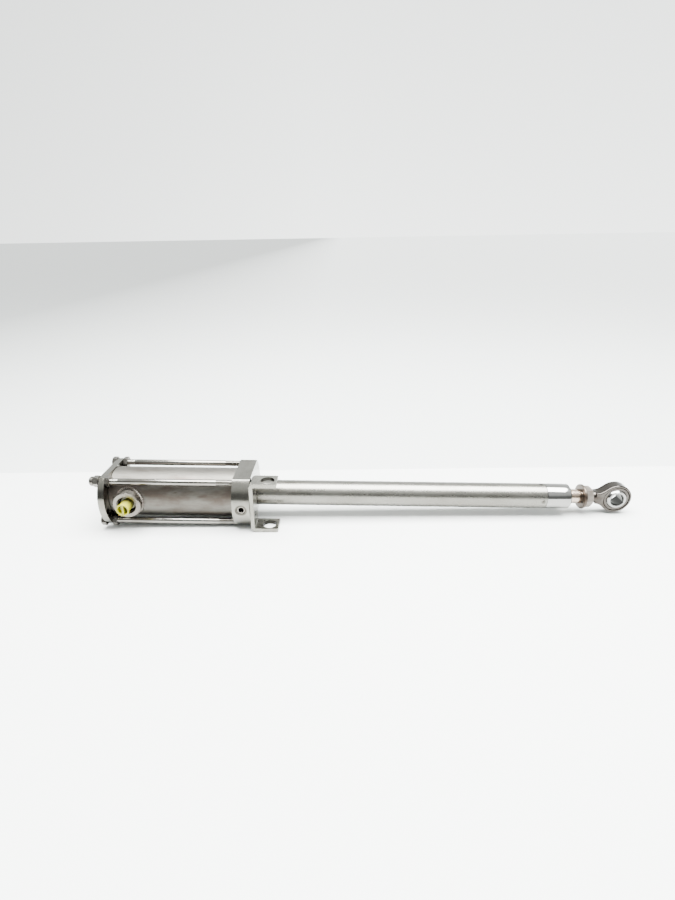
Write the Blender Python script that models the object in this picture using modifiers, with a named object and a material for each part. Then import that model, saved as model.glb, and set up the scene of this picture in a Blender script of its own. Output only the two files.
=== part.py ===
"""Stainless tie-rod pneumatic cylinder with a long guide nose and a spherical rod end.

Units are metres.  The cylinder's axis is +X, from the cap plate to the rod end.
+Z is the normal of the upper flats of the cap and head, and the ports face -Y.
The origin is the centre of the cap plate's outer face.
The piston rod is drawn fully retracted.
"""
import math

import bmesh
import bpy
from mathutils import Vector

# ---------------------------------------------------------------- driving dimensions
GAP = 0.0003                # between pieces that touch

# Cap and head share one outline: a disc with flats at the top and the bottom
PLATE_RADIUS = 0.0430
FLAT_HEIGHT = 0.0325        # axis to flat
CAP_THICKNESS = 0.0078
HEAD_BACK_X = 0.1618
HEAD_FRONT_X = 0.1834
SPIGOT_LENGTH = 0.0042      # register that centres the barrel on cap and head
ORING_SECTION = 0.0010      # section radius

BARREL_RADIUS = 0.0310
BARREL_BORE = 0.0285        # radius

ROD_OFFSET = 0.0272         # tie rods at y, z = +-ROD_OFFSET
TIE_ROD_RADIUS = 0.00395
TIE_ROD_BACK_X = -0.0075
TIE_ROD_FRONT_X = 0.1780
NUT_FLATS = 0.0127
OUTER_NUT_THICKNESS = 0.0062
NUT_SEAT_RADIUS = 0.0078    # spot face under each outer nut
NUT_SEAT_DEPTH = 0.0003
OUTER_NUT_FRONT_X = NUT_SEAT_DEPTH - GAP
INNER_NUT_THICKNESS = 0.0056
HOLE_PLAY = 0.0003          # radial play of a screw or rod in its hole
END_CAP_RADIUS = 0.0060
END_CAP_BACK_X = -0.0120
LONG_ROD_BACK_X = -0.0098   # the near upper tie rod reaches further out

PORT_X = 0.0320
PORT_BOSS_RADIUS = 0.0170
PORT_BOSS_FACE = 0.0385     # axis to boss face
PORT_BORE_RADIUS = 0.0103
BARREL_PORT_RADIUS = 0.0065
PLUG_RADIUS = 0.0082
PLUG_FACE = 0.0500          # axis to the plug's outer end

HEAD_PORT_X = 0.1728
HEAD_PORT_Z = -0.0025
HEAD_PORT_RADIUS = 0.0056
SPOT_FACE_RADIUS = 0.0070
SPOT_FACE_Y = 0.0418
INSERT_INNER_Y = 0.0305
INSERT_HOLE_RADIUS = 0.0032
PASSAGE_Y = 0.0210
PASSAGE_RADIUS = 0.0020

BRACKET_PLATE = 0.0047
BRACKET_HALF_HEIGHT = 0.0333
BRACKET_NEAR_Y = -0.0419
BRACKET_FAR_Y = -0.0174
BRACKET_END_X = 0.2168
BRACKET_OUTER_BEND = 0.0058
BRACKET_HOLE_X = 0.2054
BRACKET_HOLE_Y = -0.0308
BRACKET_HOLE_RADIUS = 0.0082
SCREW_Z = 0.0150
SCREW_RADIUS = 0.0022
SCREW_HEAD_RADIUS = 0.0044
SCREW_HEAD_LENGTH = 0.0028
SCREW_TIP_X = 0.1765

NOSE_RADIUS = 0.0160
NOSE_BORE = 0.0124          # radius
NOSE_BACK_X = 0.1763
NOSE_SEAM_X = 0.5550
NOSE_END_X = 0.5860
SPIGOT_BACK_X = 0.5380
SET_SCREW_X = 0.5500
SET_SCREW_RADIUS = 0.0021

PISTON_ROD_RADIUS = 0.00925
ROD_STUD_RADIUS = 0.0070
ROD_STUD_BACK_X = 0.0240
ROD_FRONT_X = 0.6022
GUIDE_PLAY = 0.00025        # radial, rod in its guides
SEAL_BACK_X = 0.1603
SEAL_FRONT_X = 0.1643
GUIDE_RADIUS = 0.0127
WIPER_BACK_X = 0.5813

STROKE = 0.0889
PISTON_BACK_X = 0.0380
BUMPER_THICKNESS = 0.0057
PISTON_RADIUS = 0.0281
PISTON_SEAL_WIDTH = 0.0036
PISTON_SEAL_DEPTH = 0.0036
WEAR_RING_WIDTH = 0.0069
WEAR_RING_DEPTH = 0.0017
PISTON_NUT_FLATS = 0.0240
PISTON_NUT_THICKNESS = 0.0115

THREAD_RADIUS = 0.0075      # rod end shank
SHANK_BACK_X = 0.5770
DISC_BACK_X = 0.6025
DISC_FRONT_X = 0.6055
DISC_RADIUS = 0.0157
JAM_NUT_FRONT_X = 0.6150
JAM_NUT_FLATS = 0.0238
EYE_X = 0.6465
EYE_RADIUS = 0.01905
EYE_HALF_WIDTH = 0.00715
NECK_START_X = 0.6200
RACE_RADIUS = 0.0163
RACE_HALF_WIDTH = 0.0067
BALL_RADIUS = 0.0143
BALL_HALF_WIDTH = 0.0093
BALL_BORE = 0.00795

BIG = 48                    # facets round a plate or the barrel
MEDIUM = 28
SMALL = 16

# Turns that point a piece's own +Z the way its axis goes
ALONG_X = (0.0, math.pi / 2, 0.0)
ALONG_MINUS_Y = (math.pi / 2, 0.0, 0.0)
UPRIGHT = (0.0, 0.0, 0.0)

SPIGOT_RADIUS = BARREL_BORE - GAP
GROOVE_RADIUS = SPIGOT_RADIUS - 0.0023
PISTON_FRONT_X = HEAD_BACK_X - SPIGOT_LENGTH - GAP - BUMPER_THICKNESS - GAP - STROKE


# ---------------------------------------------------------------- scene and materials
for leftover in list(bpy.data.objects):
    bpy.data.objects.remove(leftover, do_unlink=True)

PARTS = bpy.data.collections.new("pneumatic_cylinder")
CUTTERS = bpy.data.collections.new("cutters")
bpy.context.scene.collection.children.link(PARTS)
bpy.context.scene.collection.children.link(CUTTERS)

CYLINDER_AXIS = bpy.data.objects.new("cylinder_axis", None)
ROD_AXIS = bpy.data.objects.new("rod_axis", None)
BALL_AXIS = bpy.data.objects.new("ball_axis", None)
PLUG_AXIS = bpy.data.objects.new("plug_axis", None)
ROD_AXIS.parent = CYLINDER_AXIS
BALL_AXIS.parent = ROD_AXIS
BALL_AXIS.location = (EYE_X, 0.0, 0.0)
PLUG_AXIS.parent = CYLINDER_AXIS
PLUG_AXIS.location = (PORT_X, 0.0, 0.0)
for axis_empty in (CYLINDER_AXIS, ROD_AXIS, BALL_AXIS, PLUG_AXIS):
    PARTS.objects.link(axis_empty)


def material(name, colour, roughness, metallic):
    """A Principled material of one colour."""
    made = bpy.data.materials.new(name)
    made.use_nodes = True
    shader = made.node_tree.nodes["Principled BSDF"]
    shader.inputs["Base Color"].default_value = (*colour, 1.0)
    shader.inputs["Roughness"].default_value = roughness
    shader.inputs["Metallic"].default_value = metallic
    return made


POLISHED = material("polished_stainless", (0.72, 0.71, 0.69), 0.12, 1.0)
BRUSHED = material("brushed_stainless", (0.55, 0.52, 0.48), 0.38, 1.0)
MACHINED = material("machined_stainless", (0.66, 0.65, 0.62), 0.26, 1.0)
ROD_STEEL = material("ground_rod_steel", (0.68, 0.58, 0.50), 0.18, 1.0)
CHROME = material("chromed_steel", (0.62, 0.60, 0.58), 0.10, 1.0)
BRONZE = material("bearing_bronze", (0.60, 0.42, 0.20), 0.35, 1.0)
BLACK_RUBBER = material("black_rubber", (0.02, 0.02, 0.02), 0.60, 0.0)
PLASTIC = material("white_bearing_plastic", (0.80, 0.78, 0.72), 0.45, 0.0)
YELLOW = material("yellow_plastic", (0.86, 0.82, 0.10), 0.35, 0.0)


# ---------------------------------------------------------------- modelling helpers
def add_object(name, mesh, collection, location, rotation, parent=None):
    """Link a new object, placed in world terms although it may have a parent."""
    made = bpy.data.objects.new(name, mesh)
    collection.objects.link(made)
    made.rotation_euler = rotation
    made.location = location
    if parent is not None:
        made.parent = parent
        made.location = Vector(location) - parent_place(parent)
    return made


def parent_place(parent):
    """World place of an unturned chain of empties."""
    place = Vector(parent.location)
    while parent.parent is not None:
        parent = parent.parent
        place += Vector(parent.location)
    return place


def shade_round(mesh):
    mesh.shade_smooth()
    mesh.set_sharp_from_angle(angle=math.radians(35.0))


def turned(name, profile, steps, finish, rotation=ALONG_X, origin=(0.0, 0.0, 0.0),
           closed=False, parent=CYLINDER_AXIS, collection=PARTS):
    """Revolve a profile of (radius, height) points about the piece's own Z.

    The profile runs down its outer side, from the highest point to the lowest.
    """
    mesh = bpy.data.meshes.new(name)
    shape = bmesh.new()
    points = [shape.verts.new((radius, 0.0, height)) for radius, height in profile]
    pairs = list(zip(points, points[1:]))
    if closed:
        pairs.append((points[-1], points[0]))
    for start, end in pairs:
        shape.edges.new((start, end))
    shape.to_mesh(mesh)
    shape.free()
    made = add_object(name, mesh, collection, origin, rotation, parent)
    screw = made.modifiers.new("Screw", "SCREW")
    screw.steps = steps
    screw.render_steps = steps
    screw.use_merge_vertices = True
    screw.merge_threshold = 0.00001
    screw.use_smooth_shade = True
    if finish is not None:
        mesh.materials.append(finish)
    return made


def ring(name, outer, inner, low, high, steps, finish, **place):
    """A plain ring between two radii and two heights."""
    profile = [(outer, high), (outer, low), (inner, low), (inner, high)]
    return turned(name, profile, steps, finish, closed=True, **place)


def prism(name, radius, low, high, sides, finish, rotation=ALONG_X,
          origin=(0.0, 0.0, 0.0), parent=CYLINDER_AXIS, collection=PARTS):
    """A cylinder or a hexagon along the piece's own Z, from low to high."""
    mesh = bpy.data.meshes.new(name)
    shape = bmesh.new()
    bmesh.ops.create_cone(shape, cap_ends=True, segments=sides, radius1=radius,
                          radius2=radius, depth=high - low)
    bmesh.ops.translate(shape, verts=shape.verts, vec=(0.0, 0.0, (low + high) / 2))
    shape.to_mesh(mesh)
    shape.free()
    if sides > 6:
        shade_round(mesh)
    if finish is not None:
        mesh.materials.append(finish)
    return add_object(name, mesh, collection, origin, rotation, parent)


def as_cutter(made):
    made.hide_render = True
    made.display_type = "WIRE"
    return made


def round_cutter(name, radius, low, high, sides=SMALL, rotation=ALONG_X,
                 origin=(0.0, 0.0, 0.0)):
    return as_cutter(prism(name, radius, low, high, sides, None, rotation=rotation,
                           origin=origin, parent=None, collection=CUTTERS))


def box_cutter(name, low, high):
    mesh = bpy.data.meshes.new(name)
    shape = bmesh.new()
    bmesh.ops.create_cube(shape, size=1.0)
    size = [b - a for a, b in zip(low, high)]
    middle = [(a + b) / 2 for a, b in zip(low, high)]
    bmesh.ops.scale(shape, verts=shape.verts, vec=size)
    bmesh.ops.translate(shape, verts=shape.verts, vec=middle)
    shape.to_mesh(mesh)
    shape.free()
    return as_cutter(add_object(name, mesh, CUTTERS, (0.0, 0.0, 0.0), UPRIGHT))


def boolean(made, other, operation="DIFFERENCE"):
    cut = made.modifiers.new(other.name, "BOOLEAN")
    cut.operation = operation
    cut.solver = "EXACT"
    cut.object = other


def arc(centre, radius, start, end, steps):
    """Points on an arc; angles in degrees."""
    points = []
    for step in range(steps + 1):
        angle = math.radians(start + (end - start) * step / steps)
        points.append((centre[0] + radius * math.cos(angle),
                       centre[1] + radius * math.sin(angle)))
    return points


def plate_from_outline(name, outline, low_y, high_y, finish, parent=CYLINDER_AXIS):
    """A flat outline in the XZ plane, drawn as a curve and given a thickness along Y."""
    curve = bpy.data.curves.new(name + "_outline", "CURVE")
    curve.dimensions = "2D"
    curve.fill_mode = "BOTH"
    curve.extrude = (high_y - low_y) / 2
    spline = curve.splines.new("POLY")
    spline.points.add(len(outline) - 1)
    for point, (x, z) in zip(spline.points, outline):
        point.co = (x, z, 0.0, 1.0)
    spline.use_cyclic_u = True
    drawn = add_object(name + "_outline", curve, PARTS,
                       (0.0, (low_y + high_y) / 2, 0.0), ALONG_MINUS_Y)
    bpy.context.view_layer.update()
    depsgraph = bpy.context.evaluated_depsgraph_get()
    mesh = bpy.data.meshes.new_from_object(drawn.evaluated_get(depsgraph))
    mesh.name = name
    shape = bmesh.new()
    shape.from_mesh(mesh)
    bmesh.ops.remove_doubles(shape, verts=shape.verts, dist=0.00001)
    shape.to_mesh(mesh)
    shape.free()
    mesh.materials.append(finish)
    made = bpy.data.objects.new(name, mesh)
    PARTS.objects.link(made)
    made.matrix_world = drawn.matrix_world.copy()
    bpy.data.objects.remove(drawn, do_unlink=True)
    made.parent = parent
    made.location = made.location - parent_place(parent)
    return made


# ---------------------------------------------------------------- cap, head and barrel
TIE_ROD_PLACES = {
    "near_top": (-ROD_OFFSET, ROD_OFFSET),
    "near_bottom": (-ROD_OFFSET, -ROD_OFFSET),
    "far_top": (ROD_OFFSET, ROD_OFFSET),
    "far_bottom": (ROD_OFFSET, -ROD_OFFSET),
}


def cut_outline(plate, low_x, high_x):
    """Cut the upper and the lower flat off a disc."""
    reach = PLATE_RADIUS + 0.002
    for side, sign in (("upper", 1.0), ("lower", -1.0)):
        edges = sorted((sign * FLAT_HEIGHT, sign * reach))
        cutter = box_cutter(f"{plate.name}_{side}_flat", (low_x, -reach, edges[0]),
                            (high_x, reach, edges[1]))
        boolean(plate, cutter)


def cut_tie_rod_holes(plate, low_x, high_x):
    for place, (y, z) in TIE_ROD_PLACES.items():
        cutter = round_cutter(f"{plate.name}_hole_{place}", TIE_ROD_RADIUS + HOLE_PLAY,
                              low_x, high_x, origin=(0.0, y, z))
        boolean(plate, cutter)


def build_cap_plate():
    """End plate with nut seats, a register for the barrel and its seal groove."""
    face = CAP_THICKNESS
    profile = [
        (0.0, face + SPIGOT_LENGTH),
        (SPIGOT_RADIUS, face + SPIGOT_LENGTH),
        (SPIGOT_RADIUS, face + 0.0036),
        (GROOVE_RADIUS, face + 0.0036),
        (GROOVE_RADIUS, face + 0.0010),
        (SPIGOT_RADIUS, face + 0.0010),
        (SPIGOT_RADIUS, face),
        (PLATE_RADIUS, face),
        (PLATE_RADIUS, 0.0),
        (0.0, 0.0),
    ]
    plate = turned("cap_plate", profile, BIG, MACHINED)
    cut_outline(plate, -0.001, face + 0.0005)
    cut_tie_rod_holes(plate, -0.001, face + 0.001)
    for place, (y, z) in TIE_ROD_PLACES.items():
        seat = round_cutter(f"cap_plate_seat_{place}", NUT_SEAT_RADIUS, -0.001,
                            NUT_SEAT_DEPTH, origin=(0.0, y, z))
        boolean(plate, seat)


def build_head_block():
    """Front end block: rod bore, nose socket, side port and blind tie rod holes."""
    back = HEAD_BACK_X
    spigot = back - SPIGOT_LENGTH
    profile = [
        (NOSE_RADIUS + GAP, HEAD_FRONT_X),
        (PLATE_RADIUS, HEAD_FRONT_X),
        (PLATE_RADIUS, back),
        (SPIGOT_RADIUS, back),
        (SPIGOT_RADIUS, back - 0.0010),
        (GROOVE_RADIUS, back - 0.0010),
        (GROOVE_RADIUS, back - 0.0036),
        (SPIGOT_RADIUS, back - 0.0036),
        (SPIGOT_RADIUS, spigot),
        (PISTON_ROD_RADIUS + 0.0005, spigot),
        (PISTON_ROD_RADIUS + 0.0005, SEAL_BACK_X - GAP),
        (GUIDE_RADIUS + GAP, SEAL_BACK_X - GAP),
        (GUIDE_RADIUS + GAP, NOSE_BACK_X - GAP),
        (NOSE_RADIUS + GAP, NOSE_BACK_X - GAP),
    ]
    head = turned("head_block", profile, BIG, MACHINED, closed=True)
    cut_outline(head, back - 0.0005, HEAD_FRONT_X + 0.001)
    cut_tie_rod_holes(head, back - 0.001, TIE_ROD_FRONT_X + GAP)
    port = (HEAD_PORT_X, 0.0, HEAD_PORT_Z)
    for label, radius, inner, outer in (
            ("spot_face", SPOT_FACE_RADIUS, SPOT_FACE_Y, PLATE_RADIUS + 0.002),
            ("port", HEAD_PORT_RADIUS, INSERT_INNER_Y, PLATE_RADIUS + 0.001),
            ("port_drilling", 0.0030, PASSAGE_Y - 0.0015, INSERT_INNER_Y + 0.001)):
        boolean(head, round_cutter(f"head_{label}", radius, inner, outer,
                                   rotation=ALONG_MINUS_Y, origin=port))
    boolean(head, round_cutter("head_air_passage", PASSAGE_RADIUS, spigot - 0.001,
                               HEAD_PORT_X, sides=12,
                               origin=(0.0, -PASSAGE_Y, HEAD_PORT_Z)))
    for label, z in (("upper", SCREW_Z), ("lower", -SCREW_Z)):
        boolean(head, round_cutter(f"head_screw_hole_{label}", SCREW_RADIUS + HOLE_PLAY,
                                   SCREW_TIP_X - GAP, HEAD_FRONT_X + 0.001, sides=16,
                                   origin=(0.0, BRACKET_HOLE_Y, z)))


def build_head_port_insert():
    """Ported plug screwed into the head's side port."""
    outer = HEAD_PORT_RADIUS - GAP
    face = SPOT_FACE_Y - GAP
    profile = [
        (INSERT_HOLE_RADIUS, face),
        (outer - 0.0008, face),
        (outer, face - 0.0008),
        (outer, INSERT_INNER_Y + GAP),
        (INSERT_HOLE_RADIUS, INSERT_INNER_Y + GAP),
    ]
    turned("head_port_insert", profile, 24, MACHINED, rotation=ALONG_MINUS_Y,
           origin=(HEAD_PORT_X, 0.0, HEAD_PORT_Z), closed=True)


def build_barrel():
    barrel = ring("barrel_tube", BARREL_RADIUS, BARREL_BORE, CAP_THICKNESS + GAP,
                  HEAD_BACK_X - GAP, BIG, BRUSHED)
    boolean(barrel, round_cutter("barrel_port_hole", BARREL_PORT_RADIUS, 0.020, 0.040,
                                 rotation=ALONG_MINUS_Y, origin=(PORT_X, 0.0, 0.0)))


def build_port_boss():
    """Round boss on the barrel's near side, coped to fit it, with the port's bore."""
    profile = [
        (PORT_BORE_RADIUS, PORT_BOSS_FACE),
        (PORT_BOSS_RADIUS - 0.0008, PORT_BOSS_FACE),
        (PORT_BOSS_RADIUS, PORT_BOSS_FACE - 0.0008),
        (PORT_BOSS_RADIUS, 0.0220),
        (PORT_BORE_RADIUS, 0.0220),
    ]
    boss = turned("port_boss", profile, MEDIUM, MACHINED, rotation=ALONG_MINUS_Y,
                  origin=(PORT_X, 0.0, 0.0), closed=True)
    boolean(boss, round_cutter("boss_cope", BARREL_RADIUS + GAP, PORT_X - 0.03,
                               PORT_X + 0.03, sides=BIG))


def build_port_plug():
    """Plastic plug in the cap-side port: a hollow cup with a tapered shank."""
    shank = PORT_BORE_RADIUS - 0.0006
    seat = PORT_BOSS_FACE - 0.0030
    profile = [
        (PLUG_RADIUS - 0.0022, PLUG_FACE),
        (PLUG_RADIUS - 0.0006, PLUG_FACE),
        (PLUG_RADIUS, PLUG_FACE - 0.0006),
        (PLUG_RADIUS, seat),
        (shank, seat - 0.0006),
        (shank - 0.0006, 0.0325),
        (0.0, 0.0325),
        (0.0, 0.0400),
        (PLUG_RADIUS - 0.0022, 0.0400),
    ]
    turned("port_plug", profile, 32, YELLOW, rotation=ALONG_MINUS_Y,
           origin=(PORT_X, 0.0, 0.0), closed=True, parent=PLUG_AXIS)


# ---------------------------------------------------------------- tie rods and their nuts
def hex_nut(name, flats, bore, low, high, y, z, finish, parent=CYLINDER_AXIS):
    """A hexagon nut along X with two of its flats level."""
    nut = prism(name, flats / math.sqrt(3.0), low, high, 6, finish,
                origin=(0.0, y, z), parent=parent)
    boolean(nut, round_cutter(f"{name}_bore", bore, low - 0.001, high + 0.001,
                              origin=(0.0, y, z)))
    return nut


def build_tie_rods():
    chamfer = 0.0006
    for place, (y, z) in TIE_ROD_PLACES.items():
        back = LONG_ROD_BACK_X if place == "near_top" else TIE_ROD_BACK_X
        profile = [
            (0.0, TIE_ROD_FRONT_X),
            (TIE_ROD_RADIUS - chamfer, TIE_ROD_FRONT_X),
            (TIE_ROD_RADIUS, TIE_ROD_FRONT_X - chamfer),
            (TIE_ROD_RADIUS, back + chamfer),
            (TIE_ROD_RADIUS - chamfer, back),
            (0.0, back),
        ]
        turned(f"tie_rod_{place}", profile, SMALL, POLISHED, origin=(0.0, y, z))
        bore = TIE_ROD_RADIUS + HOLE_PLAY
        hex_nut(f"outer_nut_{place}", NUT_FLATS, bore,
                OUTER_NUT_FRONT_X - OUTER_NUT_THICKNESS, OUTER_NUT_FRONT_X, y, z, MACHINED)
        inner_start = CAP_THICKNESS + GAP
        hex_nut(f"inner_nut_{place}", NUT_FLATS, bore, inner_start,
                inner_start + INNER_NUT_THICKNESS, y, z, MACHINED)


def build_end_cap():
    """Rounded cover over the protruding end of the near upper tie rod."""
    bore = TIE_ROD_RADIUS + HOLE_PLAY
    open_end = OUTER_NUT_FRONT_X - OUTER_NUT_THICKNESS - GAP
    round_edge = 0.0028
    dome = arc((END_CAP_RADIUS - round_edge, END_CAP_BACK_X + round_edge), round_edge,
               0.0, -90.0, 4)
    profile = [(bore, open_end), (END_CAP_RADIUS, open_end)]
    profile += dome
    profile += [(0.0, END_CAP_BACK_X), (0.0, LONG_ROD_BACK_X - GAP),
                (bore, LONG_ROD_BACK_X - GAP)]
    y, z = TIE_ROD_PLACES["near_top"]
    turned("tie_rod_end_cap", profile, 24, MACHINED, origin=(0.0, y, z), closed=True)


# ---------------------------------------------------------------- mounting bracket
def bracket_outline():
    """U section in the XZ plane: a web against the head and two flanges."""
    outer = BRACKET_HALF_HEIGHT
    inner = outer - BRACKET_PLATE
    back = HEAD_FRONT_X + GAP
    web = back + BRACKET_PLATE
    bend = BRACKET_OUTER_BEND
    inside = bend - BRACKET_PLATE
    centre_x = back + bend
    centre_z = outer - bend
    points = [(BRACKET_END_X, outer)]
    points += arc((centre_x, centre_z), bend, 90.0, 180.0, 6)
    points += arc((centre_x, -centre_z), bend, 180.0, 270.0, 6)
    points += [(BRACKET_END_X, -outer), (BRACKET_END_X, -inner)]
    points += arc((web + inside, -inner + inside), inside, 270.0, 180.0, 3)
    points += arc((web + inside, inner - inside), inside, 180.0, 90.0, 3)
    points += [(BRACKET_END_X, inner)]
    return points


def build_bracket():
    bracket = plate_from_outline("mounting_bracket", bracket_outline(), BRACKET_NEAR_Y,
                                 BRACKET_FAR_Y, MACHINED)
    reach = BRACKET_HALF_HEIGHT + 0.002
    boolean(bracket, round_cutter("bracket_bolt_holes", BRACKET_HOLE_RADIUS, -reach,
                                  reach, sides=32, rotation=UPRIGHT,
                                  origin=(BRACKET_HOLE_X, BRACKET_HOLE_Y, 0.0)))
    front = HEAD_FRONT_X + GAP + BRACKET_PLATE
    for label, z in (("upper", SCREW_Z), ("lower", -SCREW_Z)):
        place = (0.0, BRACKET_HOLE_Y, z)
        wide = SCREW_HEAD_RADIUS + HOLE_PLAY + 0.0010
        narrow = SCREW_RADIUS + HOLE_PLAY
        sink = [
            (0.0, front + 0.0010),
            (wide, front + 0.0010),
            (narrow, front - SCREW_HEAD_LENGTH - 0.0006),
            (narrow, HEAD_FRONT_X - 0.001),
            (0.0, HEAD_FRONT_X - 0.001),
        ]
        boolean(bracket, as_cutter(turned(f"bracket_sink_{label}", sink, SMALL, None,
                                          origin=place, parent=None,
                                          collection=CUTTERS)))
        screw = [
            (0.0, front - 0.0002),
            (SCREW_HEAD_RADIUS, front - 0.0002),
            (SCREW_RADIUS, front - SCREW_HEAD_LENGTH),
            (SCREW_RADIUS, SCREW_TIP_X),
            (0.0, SCREW_TIP_X),
        ]
        turned(f"bracket_screw_{label}", screw, 16, MACHINED, origin=place)


# ---------------------------------------------------------------- guide nose
def radial_turns():
    """Labels and turns about X that point a piece's own Z up, near, down and far."""
    return (("top", 0.0), ("near", 90.0), ("bottom", 180.0), ("far", 270.0))


def build_nose():
    tube = ring("nose_tube", NOSE_RADIUS, NOSE_BORE, NOSE_BACK_X, NOSE_SEAM_X, 32,
                POLISHED)
    bore = PISTON_ROD_RADIUS + GUIDE_PLAY
    spigot = NOSE_BORE - GAP
    profile = [
        (GUIDE_RADIUS, NOSE_END_X),
        (NOSE_RADIUS - 0.0008, NOSE_END_X),
        (NOSE_RADIUS, NOSE_END_X - 0.0008),
        (NOSE_RADIUS, NOSE_SEAM_X + GAP),
        (spigot, NOSE_SEAM_X + GAP),
        (spigot, SPIGOT_BACK_X),
        (bore, SPIGOT_BACK_X),
        (bore, WIPER_BACK_X - GAP),
        (GUIDE_RADIUS, WIPER_BACK_X - GAP),
    ]
    turned("nose_end_bush", profile, 32, POLISHED, closed=True)
    ring("rod_wiper", GUIDE_RADIUS - GAP, bore, WIPER_BACK_X, NOSE_END_X - 0.0003,
         MEDIUM, BLACK_RUBBER)
    for label, turn in radial_turns():
        rotation = (math.radians(turn), 0.0, 0.0)
        place = (SET_SCREW_X, 0.0, 0.0)
        boolean(tube, round_cutter(f"set_screw_hole_{label}",
                                   SET_SCREW_RADIUS + HOLE_PLAY, 0.011, 0.018, sides=16,
                                   rotation=rotation, origin=place))
        prism(f"set_screw_{label}", SET_SCREW_RADIUS, NOSE_BORE, NOSE_RADIUS - 0.0005,
              16, MACHINED, rotation=rotation, origin=place)


# ---------------------------------------------------------------- seals, guides, bumpers
def seal_ring(name, section, radius, x, parent=CYLINDER_AXIS):
    """An O-ring about the cylinder's axis."""
    profile = arc((radius, x), section, 0.0, -360.0, 6)[:-1]
    return turned(name, profile, MEDIUM, BLACK_RUBBER, closed=True, parent=parent)


def build_inner_fixed_parts():
    middle = ORING_SECTION + GAP
    oring_radius = GROOVE_RADIUS + middle
    seal_ring("cap_oring", ORING_SECTION, oring_radius, CAP_THICKNESS + 0.0023)
    seal_ring("head_oring", ORING_SECTION, oring_radius, HEAD_BACK_X - 0.0023)
    bore = PISTON_ROD_RADIUS + GUIDE_PLAY
    ring("rod_seal", GUIDE_RADIUS, bore, SEAL_BACK_X, SEAL_FRONT_X, MEDIUM,
         BLACK_RUBBER)
    ring("rod_guide_bush", GUIDE_RADIUS, bore, SEAL_FRONT_X + GAP,
         NOSE_BACK_X - 2 * GAP, MEDIUM, BRONZE)
    cap_face = CAP_THICKNESS + SPIGOT_LENGTH
    turned("cap_bumper", [(0.0, ROD_STUD_BACK_X - GAP), (0.0150, ROD_STUD_BACK_X - GAP),
                          (0.0150, cap_face + GAP), (0.0, cap_face + GAP)],
           32, BLACK_RUBBER)
    head_face = HEAD_BACK_X - SPIGOT_LENGTH
    ring("head_bumper", 0.0175, PISTON_ROD_RADIUS + 0.0008,
         head_face - GAP - BUMPER_THICKNESS, head_face - GAP, 32, BLACK_RUBBER)


# ---------------------------------------------------------------- piston and rod
def groove(start, width, depth):
    """Profile points of a groove in the piston, from its front side to its back."""
    return [
        (PISTON_RADIUS, start + width + GAP),
        (PISTON_RADIUS - depth - GAP, start + width + GAP),
        (PISTON_RADIUS - depth - GAP, start - GAP),
        (PISTON_RADIUS, start - GAP),
    ]


def build_piston():
    """Piston with two lip seals and a wear ring between them."""
    length = PISTON_FRONT_X - PISTON_BACK_X
    back_seal = PISTON_BACK_X + 0.0025
    front_seal = PISTON_FRONT_X - 0.0025 - PISTON_SEAL_WIDTH
    wear_ring = PISTON_BACK_X + length / 2 - WEAR_RING_WIDTH / 2
    bore = ROD_STUD_RADIUS + GAP
    profile = [(bore, PISTON_FRONT_X), (PISTON_RADIUS, PISTON_FRONT_X)]
    profile += groove(front_seal, PISTON_SEAL_WIDTH, PISTON_SEAL_DEPTH)
    profile += groove(wear_ring, WEAR_RING_WIDTH, WEAR_RING_DEPTH)
    profile += groove(back_seal, PISTON_SEAL_WIDTH, PISTON_SEAL_DEPTH)
    profile += [(PISTON_RADIUS, PISTON_BACK_X), (bore, PISTON_BACK_X)]
    turned("piston", profile, 32, MACHINED, closed=True, parent=ROD_AXIS)
    lip = PISTON_RADIUS + 0.00015
    for name, start, width, depth, finish in (
            ("piston_seal_back", back_seal, PISTON_SEAL_WIDTH, PISTON_SEAL_DEPTH,
             BLACK_RUBBER),
            ("piston_wear_ring", wear_ring, WEAR_RING_WIDTH, WEAR_RING_DEPTH, PLASTIC),
            ("piston_seal_front", front_seal, PISTON_SEAL_WIDTH, PISTON_SEAL_DEPTH,
             BLACK_RUBBER)):
        ring(name, lip, PISTON_RADIUS - depth, start, start + width, 32, finish,
             parent=ROD_AXIS)
    nut_front = PISTON_BACK_X - GAP
    hex_nut("piston_nut", PISTON_NUT_FLATS, bore, nut_front - PISTON_NUT_THICKNESS,
            nut_front, 0.0, 0.0, MACHINED, parent=ROD_AXIS)


def build_piston_rod():
    """Rod with a stud for the piston and a tapped bore for the rod end's shank."""
    tapped = THREAD_RADIUS + GAP
    bottom = SHANK_BACK_X - 0.0010
    profile = [
        (0.0, bottom),
        (tapped, bottom),
        (tapped, ROD_FRONT_X),
        (PISTON_ROD_RADIUS - 0.0006, ROD_FRONT_X),
        (PISTON_ROD_RADIUS, ROD_FRONT_X - 0.0006),
        (PISTON_ROD_RADIUS, PISTON_FRONT_X + GAP),
        (ROD_STUD_RADIUS, PISTON_FRONT_X + GAP),
        (ROD_STUD_RADIUS, ROD_STUD_BACK_X + 0.0008),
        (ROD_STUD_RADIUS - 0.0008, ROD_STUD_BACK_X),
        (0.0, ROD_STUD_BACK_X),
    ]
    turned("piston_rod", profile, MEDIUM, ROD_STEEL, parent=ROD_AXIS)


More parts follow.
